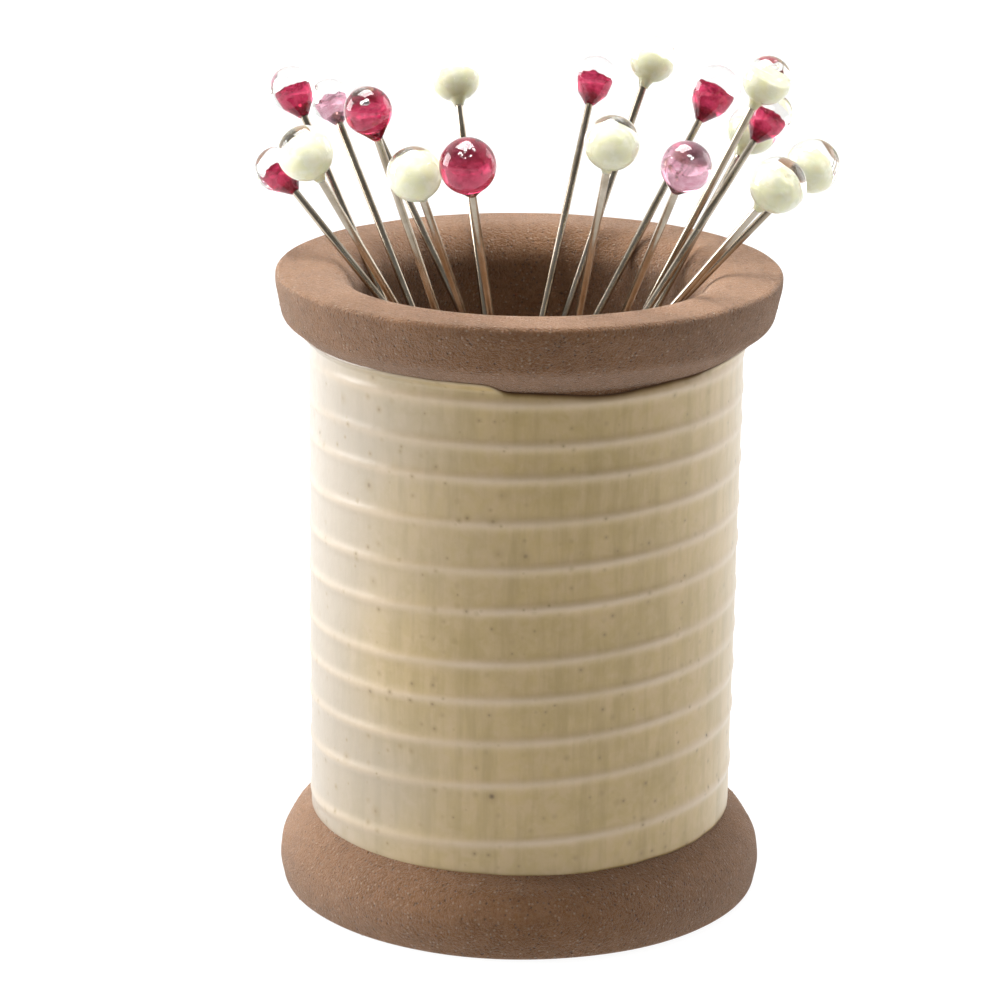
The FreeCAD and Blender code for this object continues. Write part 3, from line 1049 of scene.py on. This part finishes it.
@dataclass
class Scatter:
    """A Geometry Nodes tree that scatters small uneven balls over a mesh.

    Attributes:
        count: How many balls the mesh takes, about.
        material: The balls' material.
        grain: A ball's middle radius.
        seed: The seed of their places and sizes.
        smooth: Subdivisions of a ball.
    """

    count: int
    material: bpy.types.Material
    grain: float = 0.075 * MM
    seed: int = 7
    smooth: int = 1

    def tree(self) -> bpy.types.NodeTree:
        """Make the tree, with Density and Seed as its inputs."""
        tree = bpy.data.node_groups.new("ScatterGrains", "GeometryNodeTree")
        for label, way, kind in (
            ("Geometry", "INPUT", "NodeSocketGeometry"),
            ("Density", "INPUT", "NodeSocketFloat"),
            ("Seed", "INPUT", "NodeSocketInt"),
            ("Geometry", "OUTPUT", "NodeSocketGeometry"),
        ):
            tree.interface.new_socket(label, in_out=way, socket_type=kind)
        graph = Graph(tree)
        given = graph.node("NodeGroupInput")
        out = graph.node("NodeGroupOutput")
        spread = graph.node(
            "GeometryNodeDistributePointsOnFaces",
            {
                "Mesh": given.outputs["Geometry"],
                "Density": given.outputs["Density"],
                "Seed": given.outputs["Seed"],
            },
        )
        grain = graph.node(
            "GeometryNodeMeshIcoSphere", {"Radius": self.grain, "Subdivisions": self.smooth}
        )
        size = graph.node(
            "FunctionNodeRandomValue",
            {"Min": (0.5, 0.5, 0.3), "Max": (1.5, 1.3, 0.8), "Seed": given.outputs["Seed"]},
            data_type="FLOAT_VECTOR",
        )
        placed = graph.node(
            "GeometryNodeInstanceOnPoints",
            {
                "Points": spread.outputs["Points"],
                "Instance": grain.outputs["Mesh"],
                "Rotation": spread.outputs["Rotation"],
                "Scale": size.outputs["Value"],
            },
        )
        real = graph.node("GeometryNodeRealizeInstances", {"Geometry": placed.outputs[0]})
        dressed = graph.node("GeometryNodeSetMaterial", {"Geometry": real.outputs[0]})
        dressed.inputs["Material"].default_value = self.material
        tree.links.new(dressed.outputs[0], out.inputs[0])
        return tree

    def apply(self, surface: bpy.types.Object) -> bpy.types.Mesh:
        """Run the tree on a surface and return the grains as a plain mesh.

        Args:
            surface: The object whose skin takes them.

        Returns:
            The grains' mesh.
        """
        area = sum(face.area for face in surface.data.polygons)
        tree = self.tree()
        items = tree.interface.items_tree
        sockets = {item.name: item.identifier for item in items if item.in_out == "INPUT"}
        modifier = surface.modifiers.new("scatter", "NODES")
        modifier.node_group = tree
        modifier[sockets["Density"]] = self.count / area
        modifier[sockets["Seed"]] = self.seed
        bpy.context.view_layer.update()
        seen = surface.evaluated_get(bpy.context.evaluated_depsgraph_get())
        mesh = bpy.data.meshes.new_from_object(seen)
        surface.modifiers.remove(modifier)
        return mesh


# ---------------------------------------------------------------------------
# The pins
# ---------------------------------------------------------------------------

class Glass(Enum):
    """The two kinds of pin head."""

    CREAM = "cream"
    PINK = "pink"


@dataclass(frozen=True)
class Fill:
    """How a coloured gather fills a clear head, in shares of the head's radius.

    Attributes:
        girth: The gather's radius.
        sink: How far its middle lies under the head's.
        level: How high it rises over the head's middle.
        ragged: How much its top rises and falls.
        bubbles: How many bubbles lie over it, about.
        cluster: The radius of their cluster.
        bubble_level: The cluster's height over the head's middle.
        seed: The seed of the cluster.
    """

    girth: float
    sink: float
    level: float
    ragged: float
    bubbles: int = 0
    cluster: float = 0.0
    bubble_level: float = 0.0
    seed: int = 3


FRONT_FILLS = {
    Glass.CREAM: Fill(girth=0.68, sink=0.31, level=0.34, ragged=0.05),
    Glass.PINK: Fill(girth=0.80, sink=0.0, level=0.12, ragged=0.16),
}
BACK_FILLS = {
    Glass.CREAM: Fill(girth=0.72, sink=0.27, level=0.08, ragged=0.05),
    Glass.PINK: Fill(girth=0.54, sink=0.0, level=0.03, ragged=0.12),
}
BUBBLED_FILLS = {
    "pink_pin_3": Fill(0.78, 0.0, 0.0, 0.16, bubbles=5, cluster=0.16, bubble_level=0.30, seed=4),
    "pink_pin_5": Fill(0.86, 0.0, 0.30, 0.10, bubbles=16, cluster=0.30, bubble_level=0.62, seed=3),
    "pink_pin_9": Fill(0.80, 0.0, 0.20, 0.20, bubbles=3, cluster=0.10, bubble_level=0.35, seed=8),
}
PALE_PINS = ("pink_pin_2", "pink_pin_9")


@dataclass
class Pin:
    """One pin, placed from its packed shaft and cap."""

    name: str
    axis: Vector
    palette: Palette
    reach: float = 36.0 * MM
    wire: float = 0.3 * MM
    wire_point: float = 0.03 * MM
    point_length: float = 3.2 * MM
    bubble_radius: float = 0.13 * MM
    cluster_flatness: float = 0.35

    def __post_init__(self) -> None:
        self.glass = Glass(self.name.split("_")[0])
        shaft = [vertex.co for vertex in frame["nodes"][f"{self.name}_shaft"].data.vertices]
        cap = [vertex.co for vertex in frame["nodes"][f"{self.name}_cap"].data.vertices]
        lowest = min(spot.dot(self.axis) for spot in shaft)
        ends = [spot for spot in shaft if spot.dot(self.axis) - lowest < 0.01 * MM]
        self.tip = sum(ends, Vector()) / len(ends)
        self.head = self.tip + self.axis * self.reach
        self.radius = max(spot.dot(self.axis) for spot in cap) - self.head.dot(self.axis)
        fills = FRONT_FILLS if self.head.y < 0 else BACK_FILLS
        self.fill = BUBBLED_FILLS.get(self.name, fills[self.glass])

    def stand(self, mesh: bpy.types.Mesh) -> bpy.types.Mesh:
        """Move a mesh made along +Z from the pin's point to the pin's place."""
        turn = self.axis.to_track_quat("Z", "Y").to_matrix().to_4x4()
        mesh.transform(Matrix.Translation(self.tip) @ turn)
        mesh.update()
        return mesh

    def neck_section(
        self, ball: float, neck: float, latitude: float, sink: float = 0.0
    ) -> list[Point]:
        """Half section of the neck, from the axis up to a ball's skin.

        Args:
            ball: The ball's radius.
            neck: The neck's radius where the glass meets the wire.
            latitude: Latitude in degrees where the neck meets the ball.
            sink: How far the ball's centre lies under the head's.

        Returns:
            (radius, height) points from the axis outward and up.
        """
        start = math.radians(latitude)
        waist = ball * math.cos(start)
        cream = self.glass is Glass.CREAM
        slope = 0.75 * MM if cream else (waist - neck) / math.tan(-start)
        bottom = self.reach - sink + ball * math.sin(start) - slope
        points: list[Point] = [(0.0, bottom), (neck * 0.8, bottom), (neck, bottom + 0.05 * MM)]
        for number in range(1, 8):
            share = number / 8
            narrow = share ** (1.5 if cream else 1.12)
            points.append((neck + (waist - neck) * narrow, bottom + slope * share))
        return points

    def glass_section(self) -> list[Point]:
        """Half section of the whole head's clear skin."""
        latitude = -70.0 if self.glass is Glass.CREAM else -38.0
        points = self.neck_section(self.radius, 0.38 * MM, latitude)
        start = math.radians(latitude)
        for number in range(28):
            angle = start + (math.pi / 2 - start) * number / 28
            spot = Vector((math.cos(angle), math.sin(angle))) * self.radius
            points.append((spot.x, self.reach + spot.y))
        points.append((0.0, self.reach + self.radius))
        return points

    def core_section(self) -> list[Point]:
        """Half section of the coloured gather: it fills the head's neck and rises to its level."""
        cream = self.glass is Glass.CREAM
        latitude = -66.0 if cream else -38.0
        ball = self.radius * (self.fill.girth if cream else 0.95)
        sink = self.radius * self.fill.sink
        widest = self.radius * self.fill.girth
        points = self.neck_section(ball, 0.34 * MM, latitude, sink)
        start = math.radians(latitude)
        stop = math.asin(min(0.999, (self.fill.level * self.radius + sink) / ball))
        for number in range(25):
            angle = start + (stop - start) * number / 24
            points.append((ball * math.cos(angle), self.reach - sink + ball * math.sin(angle)))
        if not cream:
            points = [((r ** -6 + widest ** -6) ** (-1 / 6) if r else 0.0, z) for r, z in points]
        edge, top = points[-1]
        dome = edge * (0.16 if cream else 0.04)
        for number in range(1, 6):
            share = number / 6
            points.append((edge * (1 - share), top + dome * math.sin(share * math.pi / 2)))
        points.append((0.0, top + dome))
        return points

    def core_shift(self, radius: float, height: float, angle: float) -> Vector:
        """Where a point of the coloured gather is: its top rises and falls in streaks.

        Args:
            radius: The point's distance from the pin's axis.
            height: Its height over the pin's point.
            angle: Its angle round the axis.

        Returns:
            The moved point.
        """
        around = Vector((math.cos(angle), math.sin(angle), 0))
        level = self.reach + self.fill.level * self.radius
        near_top = max(0.0, 1 - abs(height - level) / (0.45 * self.radius))
        seed = Vector((self.tip.x, self.tip.y, 0)) * 900
        wave = noise.noise(around * 2.6 * radius / self.radius + seed)
        wave += 0.5 * noise.noise(around * 6.0 * radius / self.radius + seed)
        place = around * radius
        place.z = height + self.fill.ragged * self.radius * wave * near_top
        return place

    def shaft_section(self) -> list[Point]:
        """Half section of the wire with its ground point."""
        top = self.reach - self.radius * 0.7
        points: list[Point] = [(0.0, 0.0), (self.wire_point, 0.02 * MM)]
        for number in range(1, 9):
            share = number / 8
            radius = self.wire_point + (self.wire - self.wire_point) * share ** 0.8
            points.append((radius, self.point_length * share))
        points += [(self.wire, top - 0.05 * MM), (self.wire * 0.8, top), (0.0, top)]
        return resampled(points, 1.5 * MM)

    def build(self) -> None:
        """Build the shaft, the coloured core and the clear head."""
        parts = (
            ("wire", self.shaft_section(), 20, self.palette.steel, "pin_steel", "shaft"),
            ("core", self.core_section(), 48, self.core(), self.core_slot(), "gather"),
            ("glass", self.glass_section(), 48, self.palette.clear, "clear_glass", "cap"),
        )
        for label, section, segments, material, slot, node in parts:
            name = f"{self.name}_{label}"
            shift = self.core_shift if label == "core" else None
            mesh = self.stand(turned_mesh(name, section, segments, shift))
            attach(new_piece(name, mesh, material), self.name, slot, f"{self.name}_{node}")
        self.build_bubbles()

    def build_bubbles(self) -> None:
        """A cluster of seeds, bright as mirrors, caught in the glass over the gather."""
        if not self.fill.bubbles:
            return
        lens = bmesh.new()
        bmesh.ops.create_icosphere(lens, subdivisions=3, radius=self.radius * self.fill.cluster)
        middle = self.reach + self.fill.bubble_level * self.radius
        for spot in lens.verts:
            spot.co.z = spot.co.z * self.cluster_flatness + middle
        host_mesh = bpy.data.meshes.new("bubble_host")
        lens.to_mesh(host_mesh)
        lens.free()
        host = new_piece("bubble_host", host_mesh, self.palette.bubble)
        mesh = Scatter(
            self.fill.bubbles,
            self.palette.bubble,
            grain=self.bubble_radius,
            seed=self.fill.seed,
            smooth=2,
        ).apply(host)
        bpy.data.objects.remove(host)
        name = f"{self.name}_bubbles"
        attach(new_piece(name, self.stand(mesh), self.palette.bubble), self.name, "clear_glass")

    def core(self) -> bpy.types.Material:
        """The core's material: cream, magenta, or pale pink on the palest pins."""
        if self.glass is Glass.CREAM:
            return self.palette.cream
        return self.palette.pale_pink if self.name in PALE_PINS else self.palette.magenta

    def core_slot(self) -> str:
        """The record's slot for the core."""
        return "cream_glass" if self.glass is Glass.CREAM else "magenta_glass"


# ---------------------------------------------------------------------------
# The studio
# ---------------------------------------------------------------------------

@dataclass
class Studio:
    """Floor, soft lights, surroundings and the camera."""

    palette: Palette
    reel_height: float
    distance: float = 0.3001
    above_rim: float = 0.0709
    pitch_deg: float = 16.72
    yaw_deg: float = -0.37
    roll_deg: float = 0.77
    lens: float = 140.4

    def build(self) -> None:
        """Build the whole studio."""
        self.build_floor()
        self.build_world()
        self.build_lights()
        self.build_camera()

    def build_floor(self) -> None:
        """A wide level sheet of white paper."""
        mesh = bpy.data.meshes.new("studio_floor")
        half = 3.0
        corners = [(-half, -half, 0), (half, -half, 0), (half, half, 0), (-half, half, 0)]
        mesh.from_pydata(corners, [], [(0, 1, 2, 3)])
        floor = new_piece("studio_floor", mesh, self.palette.floor)

    @staticmethod
    def build_world() -> None:
        """Bright surroundings that fall off towards the front, brightest at the left."""
        world = bpy.data.worlds.new("studio_world")
        world.use_nodes = True
        bpy.context.scene.world = world
        graph = Graph(world.node_tree)
        toward = graph.node("ShaderNodeTexCoord").outputs["Generated"]
        split = graph.node("ShaderNodeSeparateXYZ", {0: toward})
        behind = graph.node(
            "ShaderNodeMapRange",
            {
                "Value": split.outputs["Y"],
                "From Min": -0.45,
                "From Max": 0.55,
                "To Min": 0.20,
                "To Max": 1.15,
            },
            interpolation_type="SMOOTHSTEP",
        )
        left = graph.math("MULTIPLY_ADD", split.outputs["X"], -0.30, 1.0)
        shade = graph.math("MULTIPLY", behind.outputs[0], left)
        background = world.node_tree.nodes["Background"]
        world.node_tree.links.new(shade, background.inputs["Strength"])
        background.inputs["Color"].default_value = (1.0, 0.99, 0.97, 1.0)
        bpy.context.scene.view_settings.view_transform = "Standard"

    @staticmethod
    def add_area(name: str, place: Point3, aim: Point3, size: float, watts: float) -> None:
        """Add a square soft light.

        Args:
            name: The light's name.
            place: Where it hangs.
            aim: The point it faces.
            size: Its side.
            watts: Its power.
        """
        lamp = bpy.data.lights.new(name, "AREA")
        lamp.size = size
        lamp.energy = watts
        light = bpy.data.objects.new(name, lamp)
        light.location = place
        light.rotation_euler = (Vector(aim) - Vector(place)).to_track_quat("-Z", "Y").to_euler()
        bpy.context.scene.collection.objects.link(light)

    def build_lights(self) -> None:
        """Softboxes to the left, right and above, all a little behind the reel."""
        aim = (0.0, 0.0, self.reel_height * 0.6)
        self.add_area("left_softbox", (-0.60, 0.10, 0.20), aim, 0.35, 3.6)
        self.add_area("right_softbox", (0.60, 0.35, 0.25), aim, 0.40, 1.2)
        self.add_area("top_softbox", (-0.10, 0.14, 0.70), aim, 0.50, 11.0)

    def build_camera(self) -> None:
        """A long lens in front of the reel and above its rim."""
        pitch, yaw, roll = (math.radians(v) for v in (self.pitch_deg, self.yaw_deg, self.roll_deg))
        ahead = Vector(
            (math.sin(yaw) * math.cos(pitch), math.cos(yaw) * math.cos(pitch), -math.sin(pitch))
        )
        level = ahead.cross(Vector((0, 0, 1))).normalized()
        upright = level.cross(ahead)
        right = level * math.cos(roll) + upright * math.sin(roll)
        up = upright * math.cos(roll) - level * math.sin(roll)
        turn = Matrix((right, up, -ahead)).transposed().to_4x4()
        data = bpy.data.cameras.new("studio_camera")
        data.lens = self.lens
        data.sensor_width = 36.0
        data.clip_start = 0.01
        camera = bpy.data.objects.new("studio_camera", data)
        place = Vector((0, -self.distance, self.reel_height + self.above_rim))
        camera.matrix_world = Matrix.Translation(place) @ turn
        bpy.context.scene.collection.objects.link(camera)
        bpy.context.scene.camera = camera


def main() -> None:
    """Build the reel, the pins and the studio."""
    logging.basicConfig(level=logging.INFO, format="%(message)s")
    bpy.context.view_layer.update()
    palette = Palette()
    reel = Reel(palette)
    reel.build()
    for joint in frame["joints"]:
        Pin(joint["child"], Vector(joint["axis"]).normalized(), palette).build()
    Studio(palette, reel.height).build()


if __name__ == "__main__":
    main()
